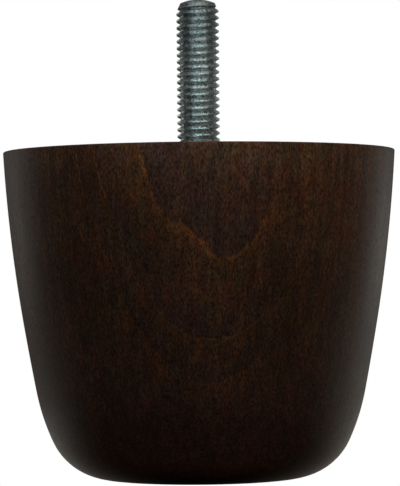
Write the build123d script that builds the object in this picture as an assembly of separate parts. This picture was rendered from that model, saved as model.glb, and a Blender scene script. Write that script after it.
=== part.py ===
from build123d import *

import os
from math import cos, radians, sin, sqrt, tan

# Low turned wooden furniture leg on a double-ended steel bolt. Millimetres, +Z up, with the origin
# at the middle of the flat that stands on the floor.

# Turned body
body_height = 60.0
top_diameter = 72.0
foot_diameter = 33.0  # flat on the floor
toe_radius = 11.8  # rounding out of the flat
toe_lean = 25.0  # degrees off upright where the rounding meets the shoulder
shoulder_radius = 39.8  # curve that swells the side out
belly_radius = 540.0  # nearly straight stretch above the shoulder
waist_height = 28.0  # where the belly gives way to the rounder side
rim_tuck = 0.85  # the side draws the top edge in this far from the belly's curve
edge_break = 0.4  # softened top edge

# Bolt, from its free end down
thread_diameter = 8.0  # nominal size of the machine thread
stud_length = 28.0  # stands out of the wood
crown_height = 0.7  # domed free end
end_chamfer = 0.8
collar_diameter = 7.1  # plain neck between the two ends
collar_length = 6.0
neck_length = 1.2  # taper from the collar to the wood-screw core
core_diameter = 5.6
buried_length = 32.0
point_length = 7.0

# Drilled hole
fit_clearance = 0.1  # all round the bolt
mouth_clearance = 0.6  # countersink round the stud, at the top face
drill_overrun = 2.0  # past the bolt's point
drill_angle = 118.0  # included angle of the drill's tip

# Heights and radii that both pieces share
thread_radius = thread_diameter / 2
collar_radius = collar_diameter / 2
core_radius = core_diameter / 2
stud_top = body_height + stud_length
collar_foot = body_height - collar_length
neck_foot = collar_foot - neck_length
point_tip = body_height - buried_length


def turned(section):
    """Solid swept about the upright axis by a half section, where x is radius and y is height."""
    return revolve(Plane.XZ * section, Axis.Z)


def side_outline():
    """Half section of the body: foot, toe, shoulder, belly and side, each tangent to the next."""
    foot_edge = Vector(foot_diameter / 2, 0)
    rim = Vector(top_diameter / 2, body_height)
    belly_aim = rim + Vector(rim_tuck, 0)
    outward = Vector(cos(radians(toe_lean)), -sin(radians(toe_lean)))
    toe_end = foot_edge + Vector(0, toe_radius) + outward * toe_radius
    shoulder_centre = toe_end - outward * shoulder_radius

    # The belly's circle passes through its aim and touches the shoulder's circle from outside it.
    inner_radius = belly_radius - shoulder_radius
    chord = shoulder_centre - belly_aim
    along = (belly_radius**2 - inner_radius**2 + chord.length**2) / (2 * chord.length)
    across = sqrt(belly_radius**2 - along**2)
    inward = chord.normalized().rotate(Axis.Z, -90)
    belly_centre = belly_aim + chord.normalized() * along + inward * across
    shoulder_end = shoulder_centre + (shoulder_centre - belly_centre).normalized() * shoulder_radius
    waist_reach = sqrt(belly_radius**2 - (waist_height - belly_centre.Y) ** 2)
    waist = Vector(belly_centre.X + waist_reach, waist_height)

    foot = Line((0, 0), foot_edge)
    toe = TangentArc(foot_edge, toe_end, tangent=foot % 1)
    shoulder = TangentArc(toe_end, shoulder_end, tangent=toe % 1)
    belly = TangentArc(shoulder_end, waist, tangent=shoulder % 1)
    side = TangentArc(waist, rim, tangent=belly % 1)
    top = Polyline(rim, (0, body_height), (0, 0))
    return foot + toe + shoulder + belly + side + top


def hole_outline():
    """Half section of the drilled hole: drill tip, pilot, collar seat and countersunk mouth."""
    pilot_radius = core_radius + fit_clearance
    seat_radius = collar_radius + fit_clearance
    mouth_radius = thread_radius + mouth_clearance
    pilot_foot = point_tip - drill_overrun
    drill_tip = pilot_foot - pilot_radius / tan(radians(drill_angle / 2))
    return Polyline(
        (0, drill_tip),
        (pilot_radius, pilot_foot),
        (pilot_radius, neck_foot),
        (seat_radius, collar_foot),
        (seat_radius, body_height - (mouth_radius - seat_radius)),
        (mouth_radius, body_height),
        (0, body_height),
        close=True,
    )


def bolt_outline():
    """Half section of the bolt: gimlet point, wood-screw core, neck, collar and machine-thread stud."""
    crown_edge = Vector(thread_radius - end_chamfer, stud_top - crown_height)
    shank = Polyline(
        (0, stud_top),
        (0, point_tip),
        (core_radius, point_tip + point_length),
        (core_radius, neck_foot),
        (collar_radius, collar_foot),
        (collar_radius, body_height),
        (thread_radius, body_height),
        (thread_radius, crown_edge.Y - end_chamfer),
        crown_edge,
    )
    crown = TangentArc((0, stud_top), crown_edge, tangent=(1, 0))
    return shank + crown


def make_leg_body():
    """Turned blank with a softened top edge, drilled for the bolt."""
    section = make_face(side_outline())
    rim = section.vertices().group_by(Axis.Y)[-1].sort_by(Axis.X)[-1]
    return turned(chamfer(rim, edge_break)) - turned(make_face(hole_outline()))


os.makedirs("parts", exist_ok=True)
export_step(make_leg_body(), "parts/leg_body.step")
export_step(turned(make_face(bolt_outline())), "parts/hanger_bolt.step")
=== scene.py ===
from math import atan, atan2, cos, pi, radians, sin, sqrt, tan

import bmesh
import bpy
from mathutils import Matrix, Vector


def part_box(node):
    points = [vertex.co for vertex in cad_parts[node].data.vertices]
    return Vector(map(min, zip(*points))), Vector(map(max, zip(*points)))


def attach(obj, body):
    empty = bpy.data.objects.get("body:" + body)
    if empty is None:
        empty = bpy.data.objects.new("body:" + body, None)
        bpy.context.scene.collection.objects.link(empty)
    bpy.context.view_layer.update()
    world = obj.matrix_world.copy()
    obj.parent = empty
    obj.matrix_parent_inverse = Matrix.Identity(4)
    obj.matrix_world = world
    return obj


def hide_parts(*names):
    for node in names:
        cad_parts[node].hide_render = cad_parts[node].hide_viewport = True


# Low turned furniture leg in dark stained wood, on a zinc-plated double-ended bolt.
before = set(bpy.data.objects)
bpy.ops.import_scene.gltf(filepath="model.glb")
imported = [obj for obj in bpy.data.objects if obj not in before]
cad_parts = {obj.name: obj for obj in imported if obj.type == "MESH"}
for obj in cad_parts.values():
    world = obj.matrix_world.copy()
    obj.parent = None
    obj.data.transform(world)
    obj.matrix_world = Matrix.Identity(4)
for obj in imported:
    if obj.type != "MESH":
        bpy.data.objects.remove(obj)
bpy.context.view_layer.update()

MM = 0.001  # sizes below are in millimetres, as is the pattern space of the materials
COLUMNS = 128  # round every turned form
WELD = 1e-4  # points closer than this become one

# Turned body
BODY_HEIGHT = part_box("leg_body")[1].z / MM
TOP_RADIUS = 36.0
FOOT_RADIUS = 16.5  # flat on the floor
TOE_RADIUS = 11.8  # rounding out of the flat
TOE_LEAN = radians(25.0)  # off upright where the rounding meets the shoulder
SHOULDER_RADIUS = 39.8  # curve that swells the side out
BELLY_RADIUS = 540.0  # nearly straight stretch above the shoulder
WAIST_HEIGHT = 28.0  # where the belly gives way to the rounder side
RIM_TUCK = 0.85  # the side draws the top edge in this far from the belly's curve
EDGE_ROUND = 0.25  # softened top edge
WOOD_CREASE = radians(30.0)  # edges sharper than this stay sharp

# Bolt, from its free end down
THREAD_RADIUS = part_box("hanger_bolt")[1].x / MM  # nominal size of the machine thread
STUD_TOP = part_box("hanger_bolt")[1].z / MM
CROWN_HEIGHT = 0.7  # domed free end
END_CHAMFER = 0.8
LEAD_IN = 1.5  # the thread rises to full height over this, below the crown
THREAD_PITCH = 1.25
THREAD_ANGLE = radians(60.0)  # between its flanks
THREAD_DEPTH = 0.62
CREST_RADIUS = 3.9  # a rolled thread runs a little under its nominal size
CREST_HALF = 0.15  # half the width of its blunt crest
CREST_AT = 0.87  # height of a crest above the wood, on the +X side
RUN_OUT = 0.9  # the thread fades into the collar over this, below the top face
COLLAR_RADIUS = 3.55  # plain part between the two threads
COLLAR_LENGTH = 6.0
NECK_LENGTH = 1.2  # taper from the collar to the wood-screw core
CORE_RADIUS = 2.8
BURIED_LENGTH = 32.0
POINT_LENGTH = 7.0
LAG_PITCH = 3.6  # of the wood-screw thread
LAG_DEPTH = 0.8
LAG_CREST = 0.25
LAG_BASE = 1.5
LAG_FADE = 2.4  # the wood-screw thread fades into the core over this, at the neck
BOLT_CREASE = radians(28.0)  # edges sharper than this stay sharp

# Drilled hole
FIT_CLEARANCE = 0.1  # all round the bolt
MOUTH_CLEARANCE = 0.6  # countersink round the stud, at the top face
DRILL_OVERRUN = 2.0  # past the bolt's point
DRILL_ANGLE = radians(118.0)  # included angle of the drill's tip

FLANK_WIDTH = THREAD_DEPTH * tan(THREAD_ANGLE / 2)
CROWN_FOOT = STUD_TOP - CROWN_HEIGHT
CROWN_EDGE = THREAD_RADIUS - END_CHAMFER
COLLAR_FOOT = BODY_HEIGHT - COLLAR_LENGTH
NECK_FOOT = COLLAR_FOOT - NECK_LENGTH
POINT_TIP = BODY_HEIGHT - BURIED_LENGTH
PILOT_FOOT = POINT_TIP - DRILL_OVERRUN
PILOT_RADIUS = CORE_RADIUS + FIT_CLEARANCE
SEAT_RADIUS = COLLAR_RADIUS + FIT_CLEARANCE
MOUTH_RADIUS = THREAD_RADIUS + MOUTH_CLEARANCE


def share(value, low, high):
    """How far a value is from low to high, held between 0 and 1."""
    return min(max((value - low) / (high - low), 0.0), 1.0)


def bearing(way):
    """Angle of a flat vector."""
    return atan2(way.y, way.x)


def arc(centre, radius, start, end, steps):
    """Points on a circle from one angle to another, both included."""
    angles = [start + (end - start) * i / steps for i in range(steps + 1)]
    return [(centre.x + radius * cos(a), centre.y + radius * sin(a)) for a in angles]


def line(start, end, steps):
    """Points from start to end, both included."""
    (x0, y0), (x1, y1) = start, end
    return [(x0 + (x1 - x0) * i / steps, y0 + (y1 - y0) * i / steps) for i in range(steps + 1)]


def side_outline():
    """Radius and height up the body's side: toe, shoulder, belly, side and rounded top edge."""
    toe_centre = Vector((FOOT_RADIUS, TOE_RADIUS))
    outward = Vector((cos(TOE_LEAN), -sin(TOE_LEAN)))
    shoulder_centre = toe_centre - outward * (SHOULDER_RADIUS - TOE_RADIUS)
    rim = Vector((TOP_RADIUS, BODY_HEIGHT))
    belly_aim = rim + Vector((RIM_TUCK, 0))

    # The belly's circle passes through its aim and touches the shoulder's circle from outside it.
    inner_radius = BELLY_RADIUS - SHOULDER_RADIUS
    chord = shoulder_centre - belly_aim
    way = chord.normalized()
    along = (BELLY_RADIUS**2 - inner_radius**2 + chord.length_squared) / (2 * chord.length)
    across = sqrt(BELLY_RADIUS**2 - along**2)
    belly_centre = belly_aim + way * along + Vector((way.y, -way.x)) * across
    waist_rise = WAIST_HEIGHT - belly_centre.y
    waist = belly_centre + Vector((sqrt(BELLY_RADIUS**2 - waist_rise**2), waist_rise))

    # The side's circle leaves the belly at the waist, along it, and ends at the rim.
    normal = (waist - belly_centre).normalized()
    reach = rim - waist
    side_radius = -reach.length_squared / (2 * reach.dot(normal))
    side_centre = waist - normal * side_radius
    edge_rise = BODY_HEIGHT - EDGE_ROUND - side_centre.y
    edge_reach = sqrt((side_radius - EDGE_ROUND) ** 2 - edge_rise**2)
    edge_centre = side_centre + Vector((edge_reach, edge_rise))

    swell = bearing(shoulder_centre - belly_centre)
    lean = bearing(normal)
    brim = bearing(edge_centre - side_centre)
    points = arc(toe_centre, TOE_RADIUS, -pi / 2, -TOE_LEAN, steps=14)
    points += arc(shoulder_centre, SHOULDER_RADIUS, -TOE_LEAN, swell, steps=16)[1:]
    points += arc(belly_centre, BELLY_RADIUS, swell, lean, steps=12)[1:]
    points += arc(side_centre, side_radius, lean, brim, steps=28)[1:]
    points += arc(edge_centre, EDGE_ROUND, brim, pi / 2, steps=8)[1:]
    return points


def machine_thread(height, offset):
    """Radius of the stud: offset is the distance along the axis from the middle of a crest."""
    fall = share(abs(offset), CREST_HALF, CREST_HALF + FLANK_WIDTH)
    cut = CREST_RADIUS - THREAD_DEPTH * fall
    fade = share(height, BODY_HEIGHT - RUN_OUT, BODY_HEIGHT)
    threaded = COLLAR_RADIUS + (cut - COLLAR_RADIUS) * fade
    rise = share(CROWN_FOOT - height, 0, LEAD_IN)
    lead = CROWN_EDGE + (CREST_RADIUS - CROWN_EDGE) * rise
    return min(threaded, lead)


def lag_thread(height, offset):
    """Radius of the wood-screw end, from its gimlet point to the neck."""
    core = CORE_RADIUS * share(height, POINT_TIP, POINT_TIP + POINT_LENGTH)
    rise = 1 - share(abs(offset), LAG_CREST / 2, LAG_BASE / 2)
    at_neck = share(NECK_FOOT - height, 0, LAG_FADE)
    at_point = share(height, POINT_TIP, POINT_TIP + POINT_LENGTH / 2)
    return core + LAG_DEPTH * rise * (at_neck * at_point)


def pilot_hole(height, offset):
    """Radius of the hole in the wood round the wood-screw end, grooved by its thread."""
    return max(PILOT_RADIUS, lag_thread(height, offset) + FIT_CLEARANCE)


def machine_offsets():
    """Where rows are needed across one pitch of the machine thread."""
    flank = [CREST_HALF + FLANK_WIDTH * i / 3 for i in (3, 2, 1, 0)]
    return [-place for place in flank] + flank[::-1] + [THREAD_PITCH / 2]


def lag_offsets():
    """Where rows are needed across one pitch of the wood-screw thread."""
    crest, base = LAG_CREST / 2, LAG_BASE / 2
    flank = (crest + base) / 2
    root = LAG_PITCH - LAG_BASE
    return [-base, -flank, -crest, crest, flank, base, base + root / 3, base + root * 2 / 3]


def at_column(radius, column, height):
    """Point on one of the columns round the axis."""
    angle = 2 * pi * column / COLUMNS
    return Vector((radius * cos(angle), radius * sin(angle), height))


def helical_rows(radius_at, low, high, pitch, crest_at, offsets):
    """Rows of points that follow a right-hand helix, held between two heights."""
    rows = []
    first = int((low - crest_at) // pitch) - 1
    last = int((high - crest_at) // pitch) + 2
    for turn in range(first, last):
        for offset in offsets:
            row = []
            for column in range(COLUMNS + 1):
                helix = crest_at + (turn + column / COLUMNS) * pitch + offset
                height = min(max(helix, low), high)
                near = (height - crest_at) / pitch - column / COLUMNS
                radius = radius_at(height, (near - round(near)) * pitch)
                row.append(at_column(radius, column, height))
            rows.append(row)
    return rows


def turned_rows(outline):
    """One ring of points for each radius and height of an outline."""
    return [[at_column(radius, c, height) for c in range(COLUMNS + 1)] for radius, height in outline]


def add_object(name, data):
    """A new object in the scene."""
    made = bpy.data.objects.new(name, data)
    bpy.context.scene.collection.objects.link(made)
    return made


class Skin:
    """Grids of points in millimetres that become one welded mesh, laid out on a map from 0 to 1."""

    def __init__(self):
        self.mesh = bmesh.new()
        self.layout = self.mesh.loops.layers.uv.new("OFBake")

    def strip(self, rows, corner, size, columns=(0, COLUMNS)):
        """Adds rows of rings, laid out on the map as a rectangle of that lower corner and size."""
        first, last = columns
        middle = (first + last) // 2
        lengths = [0.0]
        for lower, upper in zip(rows, rows[1:]):
            lengths.append(lengths[-1] + (upper[middle] - lower[middle]).length)

        def on_map(row, column):
            across = (column - first) / (last - first)
            up = lengths[row] / lengths[-1]
            return corner[0] + size[0] * across, corner[1] + size[1] * up

        self.grid(rows, on_map, columns)

    def disc(self, rows, centre, scale):
        """Adds flat rings, laid out on the map as they lie."""

        def on_map(row, column):
            point = rows[row][column]
            return centre[0] + point.x * scale, centre[1] + point.y * scale

        self.grid(rows, on_map, (0, COLUMNS))

    def grid(self, rows, on_map, columns):
        """Adds a face between each row and column and the next."""
        span = range(columns[0], columns[1] + 1)
        points = [{c: self.mesh.verts.new(row[c] * MM) for c in span} for row in rows]
        for r in range(len(rows) - 1):
            for c in range(*columns):
                corners = [(r, c), (r, c + 1), (r + 1, c + 1), (r + 1, c)]
                face = self.mesh.faces.new([points[i][j] for i, j in corners])
                for loop, (i, j) in zip(face.loops, corners):
                    loop[self.layout].uv = on_map(i, j)

    def build(self, name, material, crease):
        """Welds the grids into a new object, smooth but for edges sharper than the crease."""
        bmesh.ops.remove_doubles(self.mesh, verts=self.mesh.verts, dist=WELD * MM)
        bmesh.ops.dissolve_degenerate(self.mesh, edges=self.mesh.edges, dist=WELD * MM)
        mesh = bpy.data.meshes.new(name)
        self.mesh.to_mesh(mesh)
        self.mesh.free()
        mesh.shade_smooth()
        mesh.set_sharp_from_angle(angle=crease)
        mesh.materials.append(material)
        return add_object(name, mesh)


def make_wood(material):
    """The turned body, from the middle of its foot up the side, over the top and down the hole."""
    skin = Skin()
    half = COLUMNS // 2
    side = side_outline()
    brim_radius = side[-1][0]
    foot = line((0, 0), side[0], steps=8)
    skin.disc(turned_rows(foot), centre=(0.47, 0.1), scale=0.09 / FOOT_RADIUS)
    skin.strip(turned_rows(side), corner=(0.01, 0.7), size=(0.98, 0.29), columns=(half, COLUMNS))
    skin.strip(turned_rows(side), corner=(0.01, 0.39), size=(0.98, 0.29), columns=(0, half))
    top = line((brim_radius, BODY_HEIGHT), (MOUTH_RADIUS, BODY_HEIGHT), steps=14)
    skin.disc(turned_rows(top), centre=(0.19, 0.19), scale=0.18 / TOP_RADIUS)

    countersink_foot = BODY_HEIGHT - (MOUTH_RADIUS - SEAT_RADIUS)
    mouth = line((MOUTH_RADIUS, BODY_HEIGHT), (SEAT_RADIUS, countersink_foot), steps=3)
    mouth += line((SEAT_RADIUS, countersink_foot), (SEAT_RADIUS, COLLAR_FOOT), steps=6)[1:]
    mouth += line((SEAT_RADIUS, COLLAR_FOOT), (PILOT_RADIUS, NECK_FOOT), steps=3)[1:]
    skin.strip(turned_rows(mouth), corner=(0.6, 0.26), size=(0.39, 0.1))
    pilot = helical_rows(pilot_hole, PILOT_FOOT, NECK_FOOT, LAG_PITCH, POINT_TIP, lag_offsets())
    skin.strip(pilot[::-1], corner=(0.6, 0.06), size=(0.39, 0.18))
    drill_tip = PILOT_FOOT - PILOT_RADIUS / tan(DRILL_ANGLE / 2)
    tip = line((PILOT_RADIUS, PILOT_FOOT), (0, drill_tip), steps=4)
    skin.strip(turned_rows(tip), corner=(0.6, 0.02), size=(0.39, 0.03))
    return skin.build("turned_leg", material, WOOD_CREASE)


def make_bolt(material):
    """The double-ended bolt, from its point up to the crowned end of the stud."""
    skin = Skin()
    lag = helical_rows(lag_thread, POINT_TIP, NECK_FOOT, LAG_PITCH, POINT_TIP, lag_offsets())
    skin.strip(lag, corner=(0.01, 0.02), size=(0.98, 0.3))
    run_out_foot = BODY_HEIGHT - RUN_OUT
    collar = line((CORE_RADIUS, NECK_FOOT), (COLLAR_RADIUS, COLLAR_FOOT), steps=3)
    collar += line((COLLAR_RADIUS, COLLAR_FOOT), (COLLAR_RADIUS, run_out_foot), steps=6)[1:]
    skin.strip(turned_rows(collar), corner=(0.01, 0.33), size=(0.98, 0.06))
    stud = helical_rows(
        machine_thread, run_out_foot, CROWN_FOOT, THREAD_PITCH, BODY_HEIGHT + CREST_AT, machine_offsets()
    )
    skin.strip(stud, corner=(0.01, 0.4), size=(0.98, 0.53))
    crown_radius = (CROWN_EDGE**2 + CROWN_HEIGHT**2) / (2 * CROWN_HEIGHT)
    crown_centre = Vector((0, STUD_TOP - crown_radius))
    crown_start = bearing(Vector((CROWN_EDGE, CROWN_FOOT)) - crown_centre)
    crown = arc(crown_centre, crown_radius, crown_start, pi / 2, steps=8)
    skin.strip(turned_rows(crown), corner=(0.01, 0.94), size=(0.98, 0.05))
    return skin.build("threaded_bolt", material, BOLT_CREASE)


RIGHT = (1.0, 0.0, 0.0)
BACK = (0.0, 1.0, 0.0)
UP = (0.0, 0.0, 1.0)
UNTINTED = (1.0, 1.0, 1.0)


class Look:
    """A material in the making: each method adds to it and returns what comes out."""

    def __init__(self, name):
        self.material = bpy.data.materials.new(name)
        self.material.use_nodes = True
        self.tree = self.material.node_tree
        self.surface = self.tree.nodes["Principled BSDF"]
        place = self.node("ShaderNodeTexCoord").outputs["Object"]
        self.place = self.vector("MULTIPLY", place, (1 / MM, 1 / MM, 1 / MM))

    def node(self, kind, **settings):
        made = self.tree.nodes.new(kind)
        for key, value in settings.items():
            setattr(made, key, value)
        return made

    def feed(self, socket, value):
        """Links a socket to another's output, or sets its constant."""
        if isinstance(value, bpy.types.NodeSocket):
            self.tree.links.new(value, socket)
        else:
            socket.default_value = value

    def math(self, operation, *values):
        made = self.node("ShaderNodeMath", operation=operation)
        for socket, value in zip(made.inputs, values):
            self.feed(socket, value)
        return made.outputs[0]

    def product(self, first, *others):
        """Multiplies values one after another."""
        for other in others:
            first = self.math("MULTIPLY", first, other)
        return first

    def vector(self, operation, *values):
        made = self.node("ShaderNodeVectorMath", operation=operation)
        for socket, value in zip(made.inputs, values):
            self.feed(socket, value)
        return made.outputs["Value" if operation in ("LENGTH", "DOT_PRODUCT") else "Vector"]

    def along(self, vector, direction):
        """How far a vector goes in a direction."""
        return self.vector("DOT_PRODUCT", vector, direction)

    def from_axis(self, place):
        """Distance of a place from the upright axis."""
        return self.vector("LENGTH", self.vector("MULTIPLY", place, (1.0, 1.0, 0.0)))

    def noise(self, place, per_mm, detail=2.0, roughness=0.5, out="Fac"):
        """Smooth noise with so many features to a millimetre along each axis."""
        made = self.node("ShaderNodeTexNoise")
        self.feed(made.inputs["Vector"], self.vector("MULTIPLY", place, per_mm))
        self.feed(made.inputs["Scale"], 1.0)
        self.feed(made.inputs["Detail"], detail)
        self.feed(made.inputs["Roughness"], roughness)
        return made.outputs[out]

    def cells(self, place, per_mm):
        """Distance to the nearest of scattered points, so many to a millimetre along each axis."""
        made = self.node("ShaderNodeTexVoronoi")
        self.feed(made.inputs["Vector"], self.vector("MULTIPLY", place, per_mm))
        self.feed(made.inputs["Scale"], 1.0)
        return made.outputs["Distance"]

    def spread(self, value, low, high, to_low=0.0, to_high=1.0):
        """Eases from to_low to to_high while the value goes from low to high."""
        made = self.node("ShaderNodeMapRange", interpolation_type="SMOOTHSTEP")
        for name, given in zip(
            ("Value", "From Min", "From Max", "To Min", "To Max"), (value, low, high, to_low, to_high)
        ):
            self.feed(made.inputs[name], given)
        return made.outputs["Result"]

    def ramp(self, value, *stops):
        """Colours along a value, each stop a place and a colour."""
        made = self.node("ShaderNodeValToRGB")
        self.feed(made.inputs["Fac"], value)
        stop_list = made.color_ramp.elements
        while len(stop_list) < len(stops):
            stop_list.new(0.5)
        for stop, (place, colour) in zip(stop_list, stops):
            stop.position = place
            stop.color = (*colour, 1.0)
        return made.outputs["Color"]

    def blend(self, factor, first, second, mode="MIX"):
        """Mixes two colours, whose sockets come after those for numbers and vectors."""
        made = self.node("ShaderNodeMix", data_type="RGBA", blend_type=mode)
        for index, given in ((0, factor), (6, first), (7, second)):
            self.feed(made.inputs[index], given)
        return made.outputs[2]

    def tinted(self, colour, *tints):
        """Multiplies a colour by one tint after another."""
        for tint in tints:
            colour = self.blend(1.0, colour, tint, "MULTIPLY")
        return colour

    def scaled(self, colour, level):
        made = self.node("ShaderNodeVectorMath", operation="SCALE")
        self.feed(made.inputs["Vector"], colour)
        self.feed(made.inputs["Scale"], level)
        return made.outputs["Vector"]

    def bump(self, height, depth):
        """Relief of that depth, in millimetres."""
        made = self.node("ShaderNodeBump")
        self.feed(made.inputs["Height"], height)
        self.feed(made.inputs["Distance"], depth * MM)
        self.feed(self.surface.inputs["Normal"], made.outputs["Normal"])

    def set(self, **values):
        """Sets inputs of the surface, each by its name in small letters."""
        for name, value in values.items():
            self.feed(self.surface.inputs[name.replace("_", " ").title()], value)


# Wood pattern
PITH = (-3.66, 40.0)  # upright middle of the tree's rings, behind the body
RING_WIDTH = 1.3
WIDE_RING = 2.09  # the outer ring, grown in a good year
RING_LINE_AT = 34.59  # its line shows where the front of the body has this radius
SLOW_REACH = 1.5  # growth is even again this far past its line
RINGS_LOST = 0.97  # fewer rings than even growth would give, past the wide one
TRUNK_PLACE = (-36.0, -176.0, 250.0)  # the stretch of the trunk that the body was cut from
DRIFT_PER_MM = (0.035, 0.035, 0.014)
DRIFT = 3.0  # how far the rings wander
RIPPLE_PER_MM = (0.22, 0.22, 0.07)
RIPPLE = 0.5  # and waver, on a finer scale
PALER_FROM = 8.0  # the colour is lighter and greyer from here below the top edge
PALER_TO = 1.0
REDDER_FROM = 26.0  # and is redder and a little darker from this height down
REDDER_TO = 2.0
PORE_DEPTH = 0.03
WOOD_SHINE = 0.16


def from_ring_line(look):
    """Distance outward from one ring's line, with the slow drift of a real trunk."""
    trunk = look.vector("ADD", look.place, TRUNK_PLACE)
    place = look.place
    for per_mm, reach in ((DRIFT_PER_MM, DRIFT), (RIPPLE_PER_MM, RIPPLE)):
        shift = look.vector("SUBTRACT", look.noise(trunk, per_mm, out="Color"), (0.5, 0.5, 0.5))
        place = look.vector("MULTIPLY_ADD", shift, (reach, reach, 0.0), place)
    from_pith = look.from_axis(look.vector("SUBTRACT", place, (*PITH, 0.0)))
    return look.math("SUBTRACT", from_pith, sqrt(PITH[0] ** 2 + PITH[1] ** 2) + RING_LINE_AT)


def ring_growth(look):
    """Rings counted outward, where the outer one is wider than the rest."""
    outward = from_ring_line(look)
    even = look.math("MULTIPLY_ADD", outward, 1 / RING_WIDTH, WIDE_RING / RING_WIDTH - 1)
    slowing = look.spread(outward, -WIDE_RING, SLOW_REACH, 0.0, RINGS_LOST)
    return look.math("SUBTRACT", even, slowing)


def ring_figure(look, upward):
    """Colours of the rings, clearest in the arches on the front and on the top face."""
    growth = ring_growth(look)
    ring = look.math("FLOOR", growth)
    phase = look.math("SUBTRACT", growth, ring)
    figure = look.ramp(
        phase,
        (0.0, (0.048, 0.0214, 0.0136)),
        (0.38, (0.057, 0.0244, 0.0130)),
        (0.7, (0.064, 0.0268, 0.0112)),
        (0.94, (0.069, 0.0285, 0.0100)),
        (0.98, (0.112, 0.0415, 0.0096)),
        (1.0, (0.078, 0.0325, 0.0116)),
    )
    plain = (0.060, 0.0256, 0.0106, 1.0)
    fading = look.noise(look.place, (0.10, 0.10, 0.06), detail=3.0)
    shown = look.product(
        look.spread(fading, 0.3, 0.55, 0.3, 1.0),
        look.spread(ring, -5.0, -1.0, 0.15, 1.0),
        look.spread(look.along(look.place, RIGHT), 8.0, 15.0, 1.0, 0.25),
    )
    shown = look.math("MAXIMUM", shown, look.spread(upward, 0.4, 0.8, 0.0, 0.6))
    return look.blend(shown, plain, figure)


def stained(look, figure, upward):
    """A figure under uneven stain: blotched, lighter and greyer just below the top edge, and a little
    darker and redder near the foot.
    """
    yellow_to_blue = look.ramp(
        look.noise(look.place, (0.55, 0.55, 0.25), detail=3.0, roughness=0.6),
        (0.32, (1.09, 0.91, 0.63)),
        (0.5, (1.03, 0.96, 0.86)),
        (0.68, (0.93, 0.96, 1.16)),
    )
    trunk = look.vector("ADD", look.place, TRUNK_PLACE)
    red_to_green = look.ramp(
        look.noise(trunk, (0.4, 0.4, 0.2), detail=3.0, roughness=0.6),
        (0.32, (1.16, 0.91, 0.95)),
        (0.5, UNTINTED),
        (0.68, (0.86, 1.06, 1.04)),
    )
    upright = look.along(look.place, UP)
    # Lighter and greyer in a band just below the top edge, on the side but not on the top face.
    paler_top_band = look.product(
        look.spread(upright, BODY_HEIGHT - PALER_FROM, BODY_HEIGHT - PALER_TO),
        look.spread(upward, 0.3, 0.8, 1.0, 0.0),
    )
    paler_top_band = look.ramp(paler_top_band, (0.0, UNTINTED), (1.0, (1.20, 1.32, 1.42)))
    # Redder and a little darker down towards the foot.
    redder_low = look.ramp(
        look.spread(upright, REDDER_FROM, REDDER_TO),
        (0.0, UNTINTED),
        (0.4, (0.94, 0.86, 0.92)),
        (0.75, (1.0, 0.82, 0.82)),
        (1.0, (1.2, 0.85, 0.75)),
    )
    return look.tinted(figure, yellow_to_blue, red_to_green, paler_top_band, redder_low)


def wood_look():
    """Dark espresso stain over fine-pored wood, with arched ring lines on the front."""
    look = Look("espresso_stained_wood")
    upward = look.along(look.node("ShaderNodeNewGeometry").outputs["Normal"], UP)
    figure = stained(look, ring_figure(look, upward), upward)

    fibres = look.noise(look.place, (3.9, 3.9, 1.5), detail=3.0, roughness=0.65)
    mottle = look.noise(look.place, (1.6, 1.6, 0.6), detail=3.0, roughness=0.6)
    streaks = look.noise(look.place, (0.9, 0.9, 0.05), detail=4.0, roughness=0.65)
    clouds = look.noise(look.place, (0.10, 0.10, 0.05))
    pores = look.spread(look.cells(look.place, (2.6, 2.6, 0.6)), 0.12, 0.26, 1.0, 0.0)
    end_grain = look.spread(look.math("ABSOLUTE", upward), 0.08, 0.34)
    level = look.product(
        look.spread(fibres, 0.27, 0.73, 0.15, 1.85),
        look.spread(mottle, 0.3, 0.7, 0.82, 1.18),
        look.spread(streaks, 0.3, 0.7, 0.7, 1.3),
        look.spread(clouds, 0.25, 0.75, 0.8, 1.2),
        look.math("MULTIPLY_ADD", pores, -0.5, 1.05),
        look.math("MULTIPLY_ADD", end_grain, -0.3, 1.0),
    )
    look.set(base_color=look.scaled(figure, level))

    dull = look.math("MULTIPLY_ADD", pores, 0.15, look.spread(streaks, 0.2, 0.8, 0.46, 0.54))
    look.set(roughness=look.math("ADD", dull, look.spread(upward, 0.1, 0.5, 0.0, 0.3)))
    look.feed(look.surface.inputs["Specular IOR Level"], WOOD_SHINE)
    look.bump(look.math("MULTIPLY_ADD", fibres, 0.3, look.math("MULTIPLY", pores, -1.0)), PORE_DEPTH)
    return look.material


# Zinc plate
GRAIN_DEPTH = 0.022
PAINTED_SHADE_FROM = 16.0  # painted shade: the plate's colour darkens from here below the free end
PAINTED_SHADE_TO = 1.0
DULL_FROM = 2.8  # and is darker still and rougher from here
DULL_TO = 1.2


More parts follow.
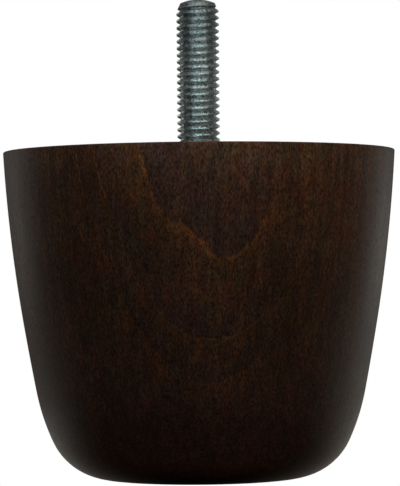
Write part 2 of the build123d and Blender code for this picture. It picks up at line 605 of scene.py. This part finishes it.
def zinc_look():
    """Speckled zinc plate with painted shade, darker in the thread roots than on the crests and darker
    towards the free end, and darker still and rougher at the very end.
    """
    look = Look("zinc_plated_steel")
    # Painted shade: the plate's colour is darker in the thread roots than on the crests, standing in for
    # the shade in the grooves.
    plate = look.ramp(
        look.spread(look.from_axis(look.place), CREST_RADIUS - THREAD_DEPTH, CREST_RADIUS),
        (0.0, (0.555, 0.565, 0.515)),
        (0.6, (0.65, 0.685, 0.645)),
        (1.0, (0.71, 0.765, 0.735)),
    )
    cloud = look.noise(look.place, (0.25, 0.25, 0.25))
    tint = look.ramp(cloud, (0.3, (0.95, 1.0, 0.98)), (0.7, (0.93, 0.98, 1.03)))
    grain = look.noise(look.place, (2.6, 2.6, 2.6), roughness=0.6)
    speckle = look.ramp(grain, (0.36, (0.35, 0.35, 0.35)), (0.64, (1.25, 1.25, 1.25)))
    upright = look.along(look.place, UP)
    # The last millimetres of the free end are darker in colour and rougher.
    dull_end = look.spread(upright, STUD_TOP - DULL_FROM, STUD_TOP - DULL_TO)
    # Painted shade darkens the plate's colour towards the free end.
    level = look.product(
        look.spread(upright, STUD_TOP - PAINTED_SHADE_FROM, STUD_TOP - PAINTED_SHADE_TO, 1.0, 0.66),
        look.math("MULTIPLY_ADD", dull_end, -0.5, 1.0),
    )
    look.set(base_color=look.scaled(look.tinted(plate, tint, speckle), level), metallic=1.0)
    smooth = look.spread(grain, 0.3, 0.7, 0.27, 0.43)
    look.set(roughness=look.math("MULTIPLY_ADD", dull_end, 0.25, smooth))
    look.bump(grain, GRAIN_DEPTH)
    return look.material


# Camera, in front and a little above the middle of the body
PICTURE = (400, 486)
SENSOR = 36.0
FOCAL_PIXELS = 2607.0
EYE = Vector((0.0, -480.0, 36.7))
HORIZON_ROW = 278.0
ROLL = 0.0092  # about the line of sight

# Studio
LIT_POINT = Vector((0.0, 0.0, 45.0))
FLOOR_REACH = 4000.0
FLOOR_GAP = 0.03  # keeps the foot, the card and the floor apart
CARD_FRONT = -22.0  # the card's glow begins here
CARD_FULL = 8.0  # and is full here, further back
CARD_ASIDE = 33.0  # the middle of the glow lies this far to the right
CARD_REACH = 160.0
CARD_GLOW = 0.67
WHITE = (1.0, 1.0, 1.0, 1.0)
BLACK = (0.0, 0.0, 0.0, 1.0)
FLOOR_GREY = (0.2, 0.2, 0.2, 1.0)
WORLD_GREY = (0.1, 0.1, 0.1, 1.0)
WARM = (1.0, 0.90, 0.66)
CLEAR = (0.95, 0.99, 1.0)
BLUISH = (0.84, 0.97, 1.09)
COOL = (0.78, 0.95, 1.0)
PALE_GREEN = (0.95, 1.0, 0.97)
PALE_OLIVE = (0.97, 1.0, 0.92)
PALE_YELLOW = (1.0, 0.985, 0.93)


def make_camera():
    """A long lens in front, tilted so that the horizon falls on its row of the picture."""
    data = bpy.data.cameras.new("camera")
    data.sensor_width = SENSOR
    data.lens = FOCAL_PIXELS * SENSOR / max(PICTURE)
    camera = add_object("camera", data)
    camera.location = EYE * MM
    tilt = atan((HORIZON_ROW - PICTURE[1] / 2) / FOCAL_PIXELS)
    camera.rotation_euler = (pi / 2 + tilt, ROLL, 0.0)
    bpy.context.scene.camera = camera


def add_lamp(name, azimuth, elevation, reach, size, watts, tint):
    """A soft panel aimed at the object, where azimuth 0 is the camera's side and 90 the right."""
    turn, rise = radians(azimuth), radians(elevation)
    away = Vector((sin(turn) * cos(rise), -cos(turn) * cos(rise), sin(rise)))
    data = bpy.data.lights.new(name, "AREA")
    data.shape = "RECTANGLE"
    data.size = size[0] * MM
    data.size_y = size[1] * MM
    data.energy = watts
    data.color = tint
    lamp = add_object(name, data)
    lamp.location = LIT_POINT * MM + away * (reach * MM)
    lamp.rotation_mode = "QUATERNION"
    lamp.rotation_quaternion = away.to_track_quat("Z", "Y")
    lamp.visible_camera = False


def make_lamps():
    """Small keys above the front, a broad front, a fill, and a rim and a low strip behind each side."""
    for side, azimuth, watts in (("left", -20, 0.041), ("middle", 5, 0.021), ("right", 30, 0.035)):
        add_lamp("key_" + side, azimuth, elevation=52, reach=120, size=(50, 50), watts=watts, tint=BLUISH)
    add_lamp("front", azimuth=-14, elevation=6, reach=900, size=(700, 300), watts=0.11, tint=COOL)
    add_lamp("fill", azimuth=50, elevation=45, reach=200, size=(80, 80), watts=0.044, tint=WARM)
    for side, azimuth, rim_watts, strip_rise, strip_watts, tint in (
        ("right", 134, 0.285, -4, 0.034, PALE_GREEN),
        ("left", 230, 0.48, -3, 0.0195, PALE_YELLOW),
    ):
        add_lamp(
            side + "_rim", azimuth, elevation=8, reach=800, size=(200, 600), watts=rim_watts, tint=tint
        )
        add_lamp(
            side + "_strip", azimuth, strip_rise, reach=300, size=(120, 50), watts=strip_watts, tint=tint
        )
    add_lamp("back", azimuth=180, elevation=65, reach=800, size=(600, 400), watts=0.6, tint=CLEAR)


def camera_switch(tree, seen, otherwise):
    """Adds a shader that is one thing to the camera and another to the light that reaches the object."""
    path = tree.nodes.new("ShaderNodeLightPath")
    mix = tree.nodes.new("ShaderNodeMixShader")
    tree.links.new(path.outputs["Is Camera Ray"], mix.inputs[0])
    tree.links.new(otherwise, mix.inputs[1])
    tree.links.new(seen, mix.inputs[2])
    return mix.outputs[0]


def make_world():
    """White all round, though it lights the object only dimly."""
    world = bpy.data.worlds.new("studio")
    world.use_nodes = True
    tree = world.node_tree
    dim = tree.nodes["Background"]
    dim.inputs["Color"].default_value = WORLD_GREY
    white = tree.nodes.new("ShaderNodeBackground")
    white.inputs["Color"].default_value = WHITE
    shown = camera_switch(tree, white.outputs[0], dim.outputs[0])
    tree.links.new(shown, tree.nodes["World Output"].inputs["Surface"])
    bpy.context.scene.world = world


def lay_sheet(name, low, high, height, material):
    """A flat rectangle of the stage between two corners."""
    corners = [(low[0], low[1]), (high[0], low[1]), (high[0], high[1]), (low[0], high[1])]
    mesh = bpy.data.meshes.new(name)
    mesh.from_pydata([Vector((*corner, height)) * MM for corner in corners], [], [(0, 1, 2, 3)])
    mesh.materials.append(material)
    made = add_object(name, mesh)
    return made


def make_floor():
    """A wide pale floor just under the foot."""
    material = bpy.data.materials.new("pale_floor")
    material.use_nodes = True
    tree = material.node_tree
    tree.nodes.remove(tree.nodes["Principled BSDF"])
    pale = tree.nodes.new("ShaderNodeEmission")
    grey = tree.nodes.new("ShaderNodeBsdfDiffuse")
    grey.inputs["Color"].default_value = FLOOR_GREY
    shown = camera_switch(tree, pale.outputs[0], grey.outputs[0])
    tree.links.new(shown, tree.nodes["Material Output"].inputs["Surface"])
    near_left = (-FLOOR_REACH, -FLOOR_REACH)
    far_right = (FLOOR_REACH, FLOOR_REACH)
    lay_sheet("floor", near_left, far_right, -2 * FLOOR_GAP, material)


def make_card():
    """A card on the floor that glows behind the foot, fading at its edges, unseen by the camera."""
    look = Look("glowing_card")
    behind = look.spread(look.along(look.place, BACK), CARD_FRONT, CARD_FULL)
    away = look.from_axis(look.vector("SUBTRACT", look.place, (CARD_ASIDE, 0.0, 0.0)))
    glow = look.product(behind, look.spread(away, CARD_REACH / 2, CARD_REACH, CARD_GLOW, 0.0))
    look.set(base_color=BLACK, emission_color=(*PALE_OLIVE, 1.0), emission_strength=glow)
    near_left = (CARD_ASIDE - CARD_REACH, CARD_FRONT)
    far_right = (CARD_ASIDE + CARD_REACH, CARD_REACH)
    card = lay_sheet("card", near_left, far_right, -FLOOR_GAP, look.material)
    card.visible_camera = False


bpy.context.scene.view_settings.view_transform = "Standard"
make_camera()
make_world()
make_floor()
make_card()
make_lamps()

for piece, node, slot in (
    (make_wood(wood_look()), "leg_body", "stained_wood"),
    (make_bolt(zinc_look()), "hanger_bolt", "zinc_steel"),
):
    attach(piece, "root")
    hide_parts(node)
